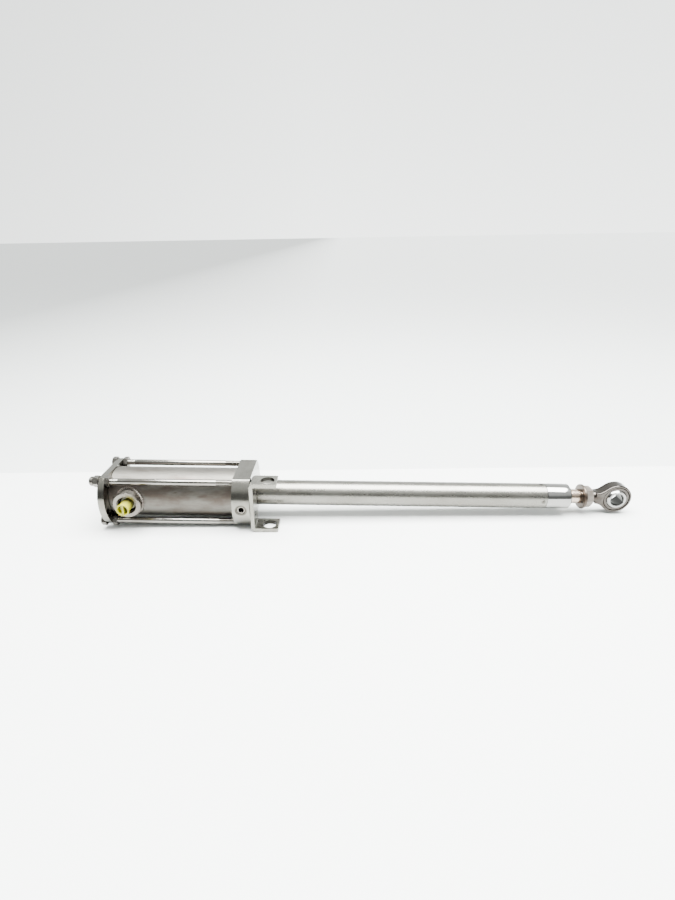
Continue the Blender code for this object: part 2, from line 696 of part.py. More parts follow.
# ---------------------------------------------------------------- rod end
def build_stop_disc_and_jam_nut():
    bore = THREAD_RADIUS + GAP
    edge = 0.0006
    profile = [
        (bore, DISC_FRONT_X),
        (DISC_RADIUS - edge, DISC_FRONT_X),
        (DISC_RADIUS, DISC_FRONT_X - edge),
        (DISC_RADIUS, DISC_BACK_X + edge),
        (DISC_RADIUS - edge, DISC_BACK_X),
        (bore, DISC_BACK_X),
    ]
    turned("rod_stop_disc", profile, MEDIUM, POLISHED, closed=True, parent=ROD_AXIS)
    hex_nut("jam_nut", JAM_NUT_FLATS, bore, DISC_FRONT_X + GAP, JAM_NUT_FRONT_X,
            0.0, 0.0, CHROME, parent=ROD_AXIS)


def eye_outline():
    """Eye with a neck that widens from the shank on two smooth curves."""
    tangent = math.radians(128.0)
    joint = (EYE_X + EYE_RADIUS * math.cos(tangent), EYE_RADIUS * math.sin(tangent))
    start = (NECK_START_X, THREAD_RADIUS * 0.98)
    slope = (math.sin(tangent), -math.cos(tangent))
    reach = 0.0085
    controls = (start, (start[0] + 0.0065, start[1]),
                (joint[0] - slope[0] * reach, joint[1] - slope[1] * reach), joint)
    steps = 5
    flare = []
    for step in range(steps + 1):
        t = step / steps
        weights = ((1 - t) ** 3, 3 * t * (1 - t) ** 2, 3 * t * t * (1 - t), t ** 3)
        flare.append(tuple(sum(w * c[i] for w, c in zip(weights, controls))
                           for i in (0, 1)))
    points = list(flare)
    points += arc((EYE_X, 0.0), EYE_RADIUS, 128.0, -128.0, 24)[1:-1]
    points += [(x, -z) for x, z in reversed(flare)]
    return points


def build_rod_end():
    body = plate_from_outline("rod_end_body", eye_outline(), -EYE_HALF_WIDTH,
                              EYE_HALF_WIDTH, CHROME, parent=ROD_AXIS)
    shank = [
        (0.0, NECK_START_X + 0.006),
        (THREAD_RADIUS * 0.93, NECK_START_X + 0.006),
        (THREAD_RADIUS, NECK_START_X - 0.001),
        (THREAD_RADIUS, SHANK_BACK_X + 0.0010),
        (THREAD_RADIUS - 0.0010, SHANK_BACK_X),
        (0.0, SHANK_BACK_X),
    ]
    boolean(body, as_cutter(turned("rod_end_shank_form", shank, 32, None, parent=None,
                                   collection=CUTTERS)), "UNION")
    boolean(body, round_cutter("rod_end_seat", RACE_RADIUS + GAP, -0.010, 0.010,
                               sides=32, rotation=ALONG_MINUS_Y,
                               origin=(EYE_X, 0.0, 0.0)))
    seat = BALL_RADIUS + GAP
    half = RACE_HALF_WIDTH
    limit = math.degrees(math.asin(half / seat))
    inner = arc((0.0, 0.0), seat, -limit, limit, 6)
    profile = [(RACE_RADIUS - 0.0005, half), (RACE_RADIUS, half - 0.0005),
               (RACE_RADIUS, -half + 0.0005), (RACE_RADIUS - 0.0005, -half)]
    turned("rod_end_race", profile + inner, 32, BRONZE, rotation=ALONG_MINUS_Y,
           origin=(EYE_X, 0.0, 0.0), closed=True, parent=ROD_AXIS)
    limit = math.degrees(math.asin(BALL_HALF_WIDTH / BALL_RADIUS))
    ball = arc((0.0, 0.0), BALL_RADIUS, limit, -limit, 8)
    chamfer = 0.0006
    ball += [(BALL_BORE + chamfer, -BALL_HALF_WIDTH),
             (BALL_BORE, -BALL_HALF_WIDTH + chamfer),
             (BALL_BORE, BALL_HALF_WIDTH - chamfer),
             (BALL_BORE + chamfer, BALL_HALF_WIDTH)]
    turned("rod_end_ball", ball, MEDIUM, CHROME, rotation=ALONG_MINUS_Y,
           origin=(EYE_X, 0.0, 0.0), closed=True, parent=BALL_AXIS)


build_cap_plate()
build_barrel()
build_head_block()
build_head_port_insert()
build_port_boss()
build_port_plug()
build_tie_rods()
build_end_cap()
build_bracket()
build_nose()
build_inner_fixed_parts()
build_piston()
build_piston_rod()
build_stop_disc_and_jam_nut()
build_rod_end()
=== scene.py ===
"""Looks of a stainless tie-rod pneumatic cylinder with a guide nose and a rod end.

Units are metres, in the CAD's frame: +X from the cap to the rod end, +Z up from the
flats, and the ports face -Y.  Every place comes from the CAD nodes' own boxes.
"""
import math

import bmesh
import bpy
from mathutils import Euler, Matrix, Vector


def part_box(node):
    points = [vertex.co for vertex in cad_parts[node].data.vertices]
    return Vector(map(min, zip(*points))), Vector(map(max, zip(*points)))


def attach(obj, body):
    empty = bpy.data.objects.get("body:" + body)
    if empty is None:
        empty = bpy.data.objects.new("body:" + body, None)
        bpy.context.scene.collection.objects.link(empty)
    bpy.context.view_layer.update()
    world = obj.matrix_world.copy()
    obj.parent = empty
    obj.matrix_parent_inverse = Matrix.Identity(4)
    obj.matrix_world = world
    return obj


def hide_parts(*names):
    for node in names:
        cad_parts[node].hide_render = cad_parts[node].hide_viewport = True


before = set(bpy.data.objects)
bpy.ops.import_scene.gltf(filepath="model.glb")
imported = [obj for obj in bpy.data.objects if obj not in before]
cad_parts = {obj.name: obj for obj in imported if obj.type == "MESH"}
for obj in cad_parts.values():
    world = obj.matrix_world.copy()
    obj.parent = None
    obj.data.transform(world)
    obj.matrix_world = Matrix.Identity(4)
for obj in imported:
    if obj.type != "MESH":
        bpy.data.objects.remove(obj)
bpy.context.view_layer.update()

# ---------------------------------------------------------------- sizes from the frame
GAP = 0.0003


def low(node):
    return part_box(node)[0]


def high(node):
    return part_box(node)[1]


def centre(node):
    return (low(node) + high(node)) / 2


CAP_FACE_X = low("inner_nut_near_top").x - GAP      # the cap's inner face
HEAD_BACK_X = high("barrel_tube").x + GAP
HEAD_FRONT_X = high("head_block").x
PLATE_RADIUS = high("cap_plate").y
FLAT = high("cap_plate").z
BARREL_RADIUS = high("barrel_tube").z
TIE_RODS = ("near_top", "near_bottom", "far_top", "far_bottom")
TIE_ROD_RADIUS = (high("tie_rod_far_top").z - low("tie_rod_far_top").z) / 2
PORT_X = centre("port_boss").x
BOSS_FACE = -low("port_boss").y
BOSS_RADIUS = high("port_boss").z
NOSE_RADIUS = high("nose_tube").z
EYE = Vector((centre("rod_end_ball").x, 0.0, 0.0))
BALL_RADIUS = high("rod_end_ball").z
REGISTER = 0.0281           # radius of the spigots that centre the barrel
BRACKET_HOLE = (0.2054, centre("bracket_screw_upper").y, 0.0)
BRACKET_HOLE_RADIUS = 0.0082

FINE = 96                   # facets round a large turned piece
ROUND = 64


# ---------------------------------------------------------------- materials
def new_material(name):
    made = bpy.data.materials.new(name)
    made.use_nodes = True
    return made, made.node_tree.nodes, made.node_tree.links


def stretched(nodes, links, scale):
    """Object coordinates scaled per axis; a small number draws the pattern out."""
    where = nodes.new("ShaderNodeTexCoord")
    mapping = nodes.new("ShaderNodeMapping")
    mapping.inputs["Scale"].default_value = scale
    links.new(where.outputs["Object"], mapping.inputs["Vector"])
    return mapping.outputs["Vector"]


def noise(nodes, links, scale, detail=3.0, roughness=0.55):
    made = nodes.new("ShaderNodeTexNoise")
    made.inputs["Scale"].default_value = 1.0
    made.inputs["Detail"].default_value = detail
    made.inputs["Roughness"].default_value = roughness
    links.new(stretched(nodes, links, scale), made.inputs["Vector"])
    return made.outputs["Fac"]


def spread(nodes, links, source, from_range, to_range):
    made = nodes.new("ShaderNodeMapRange")
    made.inputs["From Min"].default_value = from_range[0]
    made.inputs["From Max"].default_value = from_range[1]
    made.inputs["To Min"].default_value = to_range[0]
    made.inputs["To Max"].default_value = to_range[1]
    links.new(source, made.inputs["Value"])
    return made.outputs["Result"]


def mixed(nodes, links, factor, first, second):
    """Mix two colours; each is a tuple or another node's colour."""
    made = nodes.new("ShaderNodeMix")
    made.data_type = "RGBA"
    links.new(factor, made.inputs["Factor"])
    for slot, colour in (("A", first), ("B", second)):
        sockets = [s for s in made.inputs if s.name == slot and s.type == "RGBA"]
        if isinstance(colour, tuple):
            sockets[0].default_value = (*colour, 1.0)
        else:
            links.new(colour, sockets[0])
    return [s for s in made.outputs if s.type == "RGBA"][0]


def bump(nodes, links, height, distance, strength=1.0, under=None):
    made = nodes.new("ShaderNodeBump")
    made.inputs["Strength"].default_value = strength
    made.inputs["Distance"].default_value = distance
    links.new(height, made.inputs["Height"])
    if under is not None:
        links.new(under, made.inputs["Normal"])
    return made.outputs["Normal"]


def metal(name, base, tint, blotch, roughness, grain, grain_depth, wave=None,
          wave_depth=0.0, tint_range=(0.42, 0.68), dirt=None):
    """Bare metal: blotches of a second tint, uneven gloss, grain, and a slow wave.

    blotch and grain are scales per metre along X, Y and Z.
    """
    made, nodes, links = new_material(name)
    shader = nodes["Principled BSDF"]
    shader.inputs["Metallic"].default_value = 1.0
    patches = noise(nodes, links, blotch, 4.0, 0.6)
    colour = mixed(nodes, links, spread(nodes, links, patches, tint_range, (0.0, 1.0)),
                   base, tint)
    lines = noise(nodes, links, grain, 2.0, 0.5)
    if dirt is not None:
        specks = noise(nodes, links, tuple(6.0 * b for b in blotch), 5.0, 0.65)
        colour = mixed(nodes, links, spread(nodes, links, specks, (0.60, 0.78),
                                            (0.0, 0.75)), colour, dirt)
    streaks = spread(nodes, links, lines, (0.35, 0.65), (0.0, 0.22))
    colour = mixed(nodes, links, streaks, colour, tuple(0.6 * c for c in base))
    links.new(colour, shader.inputs["Base Color"])
    worn = noise(nodes, links, tuple(2.3 * b for b in blotch), 5.0, 0.6)
    links.new(spread(nodes, links, worn, (0.3, 0.72), roughness),
              shader.inputs["Roughness"])
    normal = bump(nodes, links, lines, grain_depth)
    if wave is not None:
        slow = noise(nodes, links, wave, 1.0, 0.4)
        normal = bump(nodes, links, slow, wave_depth, under=normal)
    links.new(normal, shader.inputs["Normal"])
    return made


def moulded(name, base, tint, roughness, grain, grain_depth, subsurface=0.0):
    """Rubber or plastic: slight mottling and a fine moulded texture."""
    made, nodes, links = new_material(name)
    shader = nodes["Principled BSDF"]
    patches = noise(nodes, links, (160.0, 160.0, 160.0), 3.0, 0.5)
    colour = mixed(nodes, links, spread(nodes, links, patches, (0.35, 0.7), (0.0, 1.0)),
                   base, tint)
    links.new(colour, shader.inputs["Base Color"])
    fine = noise(nodes, links, (grain, grain, grain), 3.0, 0.6)
    links.new(spread(nodes, links, fine, (0.3, 0.7), roughness),
              shader.inputs["Roughness"])
    shader.inputs["Subsurface Weight"].default_value = subsurface
    shader.inputs["Subsurface Radius"].default_value = (0.004, 0.003, 0.001)
    shader.inputs["Subsurface Scale"].default_value = 1.0
    links.new(bump(nodes, links, fine, grain_depth), shader.inputs["Normal"])
    return made


def paint_shade_within(material, middle, mask, radius, colour, softness=0.0003):
    """Paint shade into a material: darken it within a radius of an axis through a point.

    mask is 1 along the directions the distance is measured in, and 0 along the axis.
    """
    nodes = material.node_tree.nodes
    links = material.node_tree.links
    shader = nodes["Principled BSDF"]
    where = nodes.new("ShaderNodeTexCoord")
    offset = nodes.new("ShaderNodeVectorMath")
    offset.operation = "SUBTRACT"
    links.new(where.outputs["Object"], offset.inputs[0])
    offset.inputs[1].default_value = middle
    flat = nodes.new("ShaderNodeVectorMath")
    flat.operation = "MULTIPLY"
    links.new(offset.outputs["Vector"], flat.inputs[0])
    flat.inputs[1].default_value = mask
    length = nodes.new("ShaderNodeVectorMath")
    length.operation = "LENGTH"
    links.new(flat.outputs["Vector"], length.inputs[0])
    inside = spread(nodes, links, length.outputs["Value"],
                    (radius, radius + softness), (1.0, 0.0))
    before = shader.inputs["Base Color"].links[0].from_socket
    links.new(mixed(nodes, links, inside, before, colour), shader.inputs["Base Color"])
    return material


def paint_recess_shade(material, deep_y, lit_y, colour):
    """Paint shade into a material, darker from lit_y inwards to deep_y."""
    nodes = material.node_tree.nodes
    links = material.node_tree.links
    shader = nodes["Principled BSDF"]
    where = nodes.new("ShaderNodeTexCoord")
    parts = nodes.new("ShaderNodeSeparateXYZ")
    links.new(where.outputs["Object"], parts.inputs["Vector"])
    depth = spread(nodes, links, parts.outputs["Y"], (lit_y, deep_y), (0.0, 1.0))
    before = shader.inputs["Base Color"].links[0].from_socket
    links.new(mixed(nodes, links, depth, before, colour), shader.inputs["Base Color"])


NOSE_METAL = metal("nose_polish", (0.172, 0.166, 0.150), (0.137, 0.130, 0.115),
                   (14.0, 40.0, 40.0), (0.23, 0.33), (30.0, 1500.0, 1500.0), 0.000004,
                   wave=(16.0, 60.0, 60.0), wave_depth=0.00012)
BUSH_METAL = metal("bush_polish", (0.26, 0.256, 0.25), (0.22, 0.216, 0.207),
                   (30.0, 40.0, 40.0), (0.05, 0.11), (900.0, 60.0, 60.0), 0.000002)
BARREL_METAL = metal("barrel_brushed", (0.100, 0.094, 0.084), (0.064, 0.052, 0.044),
                     (18.0, 45.0, 45.0), (0.38, 0.56), (25.0, 1400.0, 1400.0), 0.000006,
                     tint_range=(0.46, 0.62), dirt=(0.055, 0.04, 0.034))
PLATE_METAL = metal("plate_machined", (0.180, 0.174, 0.156), (0.142, 0.135, 0.117),
                    (45.0, 45.0, 45.0), (0.10, 0.22), (1500.0, 70.0, 70.0), 0.000006,
                    dirt=(0.14, 0.12, 0.10))
# painted shade: the head's port recess round the plug is darkened
paint_shade_within(PLATE_METAL, tuple(centre("head_port_insert")), (1.0, 0.0, 1.0), 0.0073,
             (0.075, 0.07, 0.06))
BOSS_METAL = metal("boss_turned", (0.155, 0.144, 0.126), (0.115, 0.103, 0.087),
                   (90.0, 90.0, 90.0), (0.22, 0.38), (70.0, 1500.0, 70.0), 0.000006,
                   dirt=(0.11, 0.09, 0.075))
BRACKET_METAL = metal("bracket_satin", (0.21, 0.204, 0.182), (0.17, 0.162, 0.142),
                      (60.0, 60.0, 60.0), (0.24, 0.36), (60.0, 900.0, 900.0), 0.0000025)
# painted shade: the wall of the bracket's hole is darkened
paint_shade_within(BRACKET_METAL, BRACKET_HOLE, (1.0, 1.0, 0.0), 0.0084, (0.018, 0.017, 0.015))
ROD_METAL = metal("rod_ground", (0.40, 0.325, 0.265), (0.32, 0.25, 0.20),
                  (30.0, 60.0, 60.0), (0.14, 0.26), (1800.0, 50.0, 50.0), 0.000003)
TIE_ROD_METAL = metal("tie_rod_bright", (0.23, 0.22, 0.204), (0.165, 0.15, 0.134),
                      (25.0, 80.0, 80.0), (0.10, 0.20), (60.0, 900.0, 900.0), 0.000003)
NUT_METAL = metal("nut_plated", (0.165, 0.156, 0.142), (0.105, 0.092, 0.08),
                  (140.0, 140.0, 140.0), (0.16, 0.30), (700.0, 700.0, 700.0), 0.000004,
                  dirt=(0.08, 0.065, 0.055))
WELD_METAL = metal("weld_bead_metal", (0.14, 0.128, 0.114), (0.085, 0.066, 0.056),
                   (150.0, 150.0, 150.0), (0.22, 0.42), (500.0, 500.0, 500.0), 0.00002)
CHROME_METAL = metal("rod_end_plating", (0.066, 0.060, 0.055), (0.038, 0.031, 0.027),
                     (70.0, 70.0, 70.0), (0.10, 0.22), (400.0, 400.0, 400.0), 0.000004,
                     tint_range=(0.42, 0.65), dirt=(0.08, 0.06, 0.05))
DISC_METAL = metal("disc_tarnished", (0.075, 0.060, 0.050), (0.045, 0.034, 0.028),
                   (80.0, 80.0, 80.0), (0.32, 0.46), (300.0, 300.0, 300.0), 0.000004)
JAM_NUT_METAL = metal("jam_nut_bright", (0.20, 0.178, 0.160), (0.14, 0.118, 0.102),
                      (110.0, 110.0, 110.0), (0.44, 0.58), (500.0, 500.0, 500.0),
                      0.000004)
BALL_METAL = metal("ball_polish", (0.27, 0.266, 0.258), (0.22, 0.212, 0.203),
                   (90.0, 90.0, 90.0), (0.05, 0.12), (200.0, 1500.0, 200.0), 0.000002)
# painted shade: the bore through the ball is darkened
paint_shade_within(BALL_METAL, tuple(EYE), (1.0, 0.0, 1.0), 0.0082, (0.05, 0.05, 0.048))
BRONZE_METAL = metal("bush_bronze", (0.58, 0.40, 0.20), (0.45, 0.30, 0.15),
                     (120.0, 120.0, 120.0), (0.3, 0.5), (900.0, 900.0, 900.0), 0.00001)
RUBBER = moulded("seal_rubber", (0.018, 0.018, 0.019), (0.035, 0.034, 0.033),
                 (0.5, 0.75), 2500.0, 0.00002)
RING_PLASTIC = moulded("ring_plastic", (0.78, 0.75, 0.68), (0.70, 0.66, 0.58),
                       (0.4, 0.6), 2000.0, 0.00001)
YELLOW_PLASTIC = moulded("plug_plastic", (0.27, 0.257, 0.004), (0.21, 0.20, 0.003),
                         (0.28, 0.45), 1800.0, 0.00001, subsurface=0.08)
# painted shade: the plug darkens the deeper it sits in the boss's bore
paint_recess_shade(YELLOW_PLASTIC, -BOSS_FACE, -BOSS_FACE - 0.0085, (0.06, 0.055, 0.008))


# ---------------------------------------------------------------- mesh tools
class Axis:
    """A local frame whose third direction is a turned piece's axis."""

    def __init__(self, origin, along, across):
        self.origin = Vector(origin)
        self.along = Vector(along).normalized()
        self.across = Vector(across).normalized()
        self.third = self.along.cross(self.across)

    def point(self, radius, angle, height):
        return (self.origin + self.along * height
                + self.across * (radius * math.cos(angle))
                + self.third * (radius * math.sin(angle)))


def x_axis(y=0.0, z=0.0):
    return Axis((0.0, y, z), (1.0, 0.0, 0.0), (0.0, 1.0, 0.0))


def near_axis(x, z=0.0):
    """An axis along -Y; heights are distances from the cylinder's axis."""
    return Axis((x, 0.0, z), (0.0, -1.0, 0.0), (1.0, 0.0, 0.0))


def arc(cx, cy, radius, start, end, steps):
    """Points on an arc; angles in degrees."""
    angles = [math.radians(start + (end - start) * i / steps) for i in range(steps + 1)]
    return [(cx + radius * math.cos(a), cy + radius * math.sin(a)) for a in angles]


def eased(points, amount, closed=False, steps=2):
    """Round every corner of a profile by up to amount, leaving points on the axis."""
    result = []
    count = len(points)
    for i, point in enumerate(points):
        ends = not closed and i in (0, count - 1)
        if ends or point[0] < 1e-6:
            result.append(point)
            continue
        here = Vector(point)
        back = Vector(points[i - 1]) - here
        on = Vector(points[(i + 1) % count]) - here
        if back.length < 1e-7 or on.length < 1e-7 or abs(back.angle(on)) > 2.7:
            result.append(point)
            continue
        cut = min(amount, back.length * 0.4, on.length * 0.4)
        first = here + back.normalized() * cut
        last = here + on.normalized() * cut
        for step in range(steps + 1):
            t = step / steps
            place = first * (1 - t) ** 2 + here * (2 * t * (1 - t)) + last * t * t
            result.append((place.x, place.y))
    return result


def mesh_from(shape, name, sharp=32.0):
    bmesh.ops.recalc_face_normals(shape, faces=shape.faces)
    mesh = bpy.data.meshes.new(name)
    shape.to_mesh(mesh)
    shape.free()
    mesh.shade_smooth()
    mesh.set_sharp_from_angle(angle=math.radians(sharp))
    return mesh


def add_grid(shape, rings, closed):
    """Join rings of equal length into quads; a ring of one vertex makes a fan."""
    pairs = list(zip(rings, rings[1:]))
    if closed:
        pairs.append((rings[-1], rings[0]))
    for a, b in pairs:
        count = max(len(a), len(b))
        for i in range(count):
            j = (i + 1) % count
            corners = [a[i % len(a)], a[j % len(a)], b[j % len(b)], b[i % len(b)]]
            corners = [v for k, v in enumerate(corners) if v not in corners[:k]]
            if len(corners) > 2:
                shape.faces.new(corners)


def ring_of(shape, axis, radius, height, steps):
    if radius < 1e-6:
        return [shape.verts.new(axis.point(0.0, 0.0, height))]
    return [shape.verts.new(axis.point(radius, math.tau * i / steps, height))
            for i in range(steps)]


def turned(name, profile, axis, steps=FINE, closed=False, sharp=32.0):
    """Revolve (radius, height) points about an axis."""
    shape = bmesh.new()
    rings = [ring_of(shape, axis, radius, height, steps) for radius, height in profile]
    add_grid(shape, rings, closed)
    return mesh_from(shape, name, sharp)


def spaced(start, end, step):
    count = max(1, round(abs(end - start) / step))
    return [start + (end - start) * i / count for i in range(count + 1)]


def threaded(name, axis, back, front, radius, pitch, depth, zones, chamfer=0.0006,
             steps=28):
    """A rod with helical thread in zones of its length; depth fades at zone ends."""
    places = {back + chamfer, front - chamfer}
    for start, end in zones:
        places.update(spaced(start, end, pitch / 8))
    places = sorted(p for p in places if back + chamfer <= p <= front - chamfer)

    def surface(height, angle):
        for start, end in zones:
            if start < height < end:
                fade = min(1.0, (height - start) / pitch, (end - height) / pitch)
                turn = (height / pitch - angle / math.tau) % 1.0
                groove = max(0.0, 1.0 - abs(turn - 0.5) / 0.42)
                return radius - depth * groove * fade
        return radius

    shape = bmesh.new()
    rings = []
    tip = radius - chamfer
    for size in (0.0, tip):
        rings.append(ring_of(shape, axis, size, back, steps))
    for height in places:
        rings.append([shape.verts.new(axis.point(
            surface(height, math.tau * i / steps), math.tau * i / steps, height))
            for i in range(steps)])
    for size in (tip, 0.0):
        rings.append(ring_of(shape, axis, size, front, steps))
    add_grid(shape, rings, closed=False)
    return mesh_from(shape, name, 50.0)


def hexagon(name, axis, flats, bore, back, front, steps=96):
    """A hexagon nut with chamfered corners and a countersunk bore.

    Its corners start at the axis's across direction, so two flats are level.
    """
    shape = bmesh.new()
    apothem = flats / 2
    crown = apothem * 0.985
    lean = math.tan(math.radians(28.0))

    def corner(angle):
        return apothem / math.cos(angle % (math.pi / 3) - math.pi / 6)

    rings = []

    def add(size, height):
        rings.append([shape.verts.new(axis.point(size(a), a, height(a)))
                      for a in (math.tau * i / steps for i in range(steps))])

    sink = bore * 0.10
    add(lambda a: bore, lambda a: back + sink)
    add(lambda a: bore + sink, lambda a: back)
    add(lambda a: crown, lambda a: back)
    add(corner, lambda a: back + max(0.0, corner(a) - crown) * lean)
    add(corner, lambda a: front - max(0.0, corner(a) - crown) * lean)
    add(lambda a: crown, lambda a: front)
    add(lambda a: bore + sink, lambda a: front)
    add(lambda a: bore, lambda a: front - sink)
    add_grid(shape, rings, closed=True)
    return mesh_from(shape, name, 22.0)


def slab(name, outline, low_y, high_y, sharp=32.0):
    """A flat outline in the XZ plane given a thickness along Y."""
    shape = bmesh.new()
    near = [shape.verts.new((x, low_y, z)) for x, z in outline]
    far = [shape.verts.new((x, high_y, z)) for x, z in outline]
    shape.faces.new(near)
    shape.faces.new(list(reversed(far)))
    for i in range(len(outline)):
        j = (i + 1) % len(outline)
        shape.faces.new((near[i], far[i], far[j], near[j]))
    return mesh_from(shape, name, sharp)


def block(name, lowest, highest):
    shape = bmesh.new()
    bmesh.ops.create_cube(shape, size=1.0)
    size = [b - a for a, b in zip(lowest, highest)]
    middle = [(a + b) / 2 for a, b in zip(lowest, highest)]
    bmesh.ops.scale(shape, verts=shape.verts, vec=size)
    bmesh.ops.translate(shape, verts=shape.verts, vec=middle)
    return mesh_from(shape, name)


def rod_tool(axis, radius, start, end, steps=48):
    """A plain cylinder used to cut with."""
    return turned("tool", [(0.0, start), (radius, start), (radius, end), (0.0, end)],
                  axis, steps)


def carve(mesh, tools, bevel=0.0, bevel_first=0.0, first_segments=3):
    """Cut tools from a mesh, round the sharp edges, and return the finished mesh.

    A tool may be a pair of another boolean operation and its mesh.
    """
    subject = bpy.data.objects.new("subject", mesh)
    bpy.context.scene.collection.objects.link(subject)
    helpers = []
    if bevel_first:
        add_bevel(subject, bevel_first, first_segments)
    for tool in tools:
        kind = "DIFFERENCE"
        if isinstance(tool, tuple):
            kind, tool = tool
        helper = bpy.data.objects.new("tool", tool)
        bpy.context.scene.collection.objects.link(helper)
        helpers.append(helper)
        cut = subject.modifiers.new("cut", "BOOLEAN")
        cut.operation = kind
        cut.solver = "EXACT"
        cut.object = helper
    if bevel:
        add_bevel(subject, bevel, 2)
    bpy.context.view_layer.update()
    depsgraph = bpy.context.evaluated_depsgraph_get()
    made = bpy.data.meshes.new_from_object(subject.evaluated_get(depsgraph))
    for used in (subject, *helpers):
        bpy.data.objects.remove(used, do_unlink=True)
    made.shade_smooth()
    made.set_sharp_from_angle(angle=math.radians(38.0))
    return flattened(made)


def flattened(mesh):
    """Weight the normals by face area, so flats beside rounded edges stay flat."""
    subject = bpy.data.objects.new("subject", mesh)
    bpy.context.scene.collection.objects.link(subject)
    weighted = subject.modifiers.new("normals", "WEIGHTED_NORMAL")
    weighted.mode = "FACE_AREA"
    weighted.keep_sharp = True
    bpy.context.view_layer.update()
    depsgraph = bpy.context.evaluated_depsgraph_get()
    made = bpy.data.meshes.new_from_object(subject.evaluated_get(depsgraph))
    bpy.data.objects.remove(subject, do_unlink=True)
    return made


def add_bevel(subject, width, segments):
    rounded = subject.modifiers.new("bevel", "BEVEL")
    rounded.width = width
    rounded.segments = segments
    rounded.limit_method = "ANGLE"
    rounded.angle_limit = math.radians(35.0)
    rounded.use_clamp_overlap = True


def place(name, mesh, finish, slot, body, *nodes):
    """Show a mesh as a piece that rides on a body in place of CAD nodes."""
    mesh.name = name
    mesh.materials.clear()
    mesh.materials.append(finish)
    made = bpy.data.objects.new(name, mesh)
    bpy.context.scene.collection.objects.link(made)
    if nodes:
        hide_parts(*nodes)
    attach(made, body)
    return made


# ---------------------------------------------------------------- cap, head and barrel
def flat_tools(start, end):
    reach = PLATE_RADIUS + 0.004
    return [block("tool", (start, -reach, FLAT), (end, reach, reach)),
            block("tool", (start, -reach, -reach), (end, reach, -FLAT))]


def tie_rod_tools(start, end):
    return [rod_tool(x_axis(centre(f"tie_rod_{n}").y, centre(f"tie_rod_{n}").z),
                     TIE_ROD_RADIUS + GAP, start, end, 32) for n in TIE_RODS]


def cap_plate():
    outside = low("cap_plate").x
    spigot = high("cap_plate").x
    profile = [(0.0, spigot), (REGISTER, spigot), (REGISTER, CAP_FACE_X),
               (PLATE_RADIUS, CAP_FACE_X), (PLATE_RADIUS, outside), (0.0, outside)]
    body = turned("cap", profile, x_axis(), 128)
    tools = flat_tools(outside - 0.001, CAP_FACE_X + 0.0004)
    tools += tie_rod_tools(outside - 0.001, CAP_FACE_X + 0.001)
    for n in TIE_RODS:
        seat = centre(f"outer_nut_{n}")
        tools.append(rod_tool(x_axis(seat.y, seat.z), 0.0078, outside - 0.001,
                              high(f"outer_nut_{n}").x + GAP))
    made = carve(body, tools, bevel=0.0004)
    place("cap_end_plate", made, PLATE_METAL, "machined_stainless", "cylinder",
          "cap_plate")


def head_block():
    front = HEAD_FRONT_X
    back = HEAD_BACK_X
    spigot = low("head_block").x
    socket = NOSE_RADIUS + GAP
    profile = [(socket, front), (PLATE_RADIUS, front), (PLATE_RADIUS, back),
               (REGISTER, back), (REGISTER, spigot),
               (0.0130, spigot), (0.0130, low("nose_tube").x - GAP),
               (socket, low("nose_tube").x - GAP)]
    body = turned("head", profile, x_axis(), 128, closed=True)
    insert = centre("head_port_insert")
    port = near_axis(insert.x, insert.z)
    bore = high("head_port_insert").x - insert.x + GAP
    face = -low("head_port_insert").y + GAP
    tools = flat_tools(back - 0.0004, front + 0.001)
    tools += tie_rod_tools(back - 0.001, high("tie_rod_far_top").x + GAP)
    tools.append(rod_tool(port, bore + 0.0014, face, PLATE_RADIUS + 0.002))
    tools.append(rod_tool(port, bore, -high("head_port_insert").y - 0.001, face + 0.001))
    made = carve(body, tools, bevel=0.00045)
    place("head_end_block", made, PLATE_METAL, "machined_stainless", "cylinder",
          "head_block")


def head_port_insert():
    """Ported plug with a small round air hole."""
    middle = centre("head_port_insert")
    axis = near_axis(middle.x, middle.z)
    radius = high("head_port_insert").x - middle.x
    face = -low("head_port_insert").y
    inner = -high("head_port_insert").y
    hole = 0.0032
    profile = eased([(hole, face - 0.0004), (hole + 0.0004, face),
                     (radius - 0.0004, face), (radius, face - 0.0004), (radius, inner),
                     (hole, inner)], 0.00015, closed=True)
    mesh = turned("insert", profile, axis, ROUND, closed=True)
    place("head_port_plug", mesh, NUT_METAL, "machined_stainless", "cylinder",
          "head_port_insert")


def barrel():
    back = low("barrel_tube").x
    front = high("barrel_tube").x
    bore = BARREL_RADIUS - 0.0025
    profile = eased([(BARREL_RADIUS, front), (BARREL_RADIUS, back), (bore, back),
                     (bore, front)], 0.0003, closed=True)
    body = turned("barrel", profile, x_axis(), 160, closed=True)
    made = carve(body, [rod_tool(near_axis(PORT_X), 0.0065, 0.020, 0.040)])
    place("barrel_shell", made, BARREL_METAL, "brushed_stainless", "cylinder",
          "barrel_tube")


def port_boss():
    """Boss with a chamfered mouth and thread grooves down its bore."""
    bore = 0.0103
    pitch = 0.0018
    grooves = []
    depth = BOSS_FACE - 0.0012
    while depth > 0.0275:
        grooves += [(bore + 0.0006, depth), (bore, depth - pitch / 2)]
        depth -= pitch
    profile = [(bore, 0.0225), (BOSS_RADIUS, 0.0225), (BOSS_RADIUS, BOSS_FACE - 0.0010),
               (BOSS_RADIUS - 0.0010, BOSS_FACE), (bore + 0.0016, BOSS_FACE)]
    body = turned("boss", profile + grooves, near_axis(PORT_X), FINE, closed=True)
    cope = rod_tool(x_axis(), BARREL_RADIUS + 0.0001, PORT_X - 0.03, PORT_X + 0.03, 160)
    made = carve(body, [cope])
    place("cap_port_boss", made, BOSS_METAL, "brushed_stainless", "cylinder",
          "port_boss")


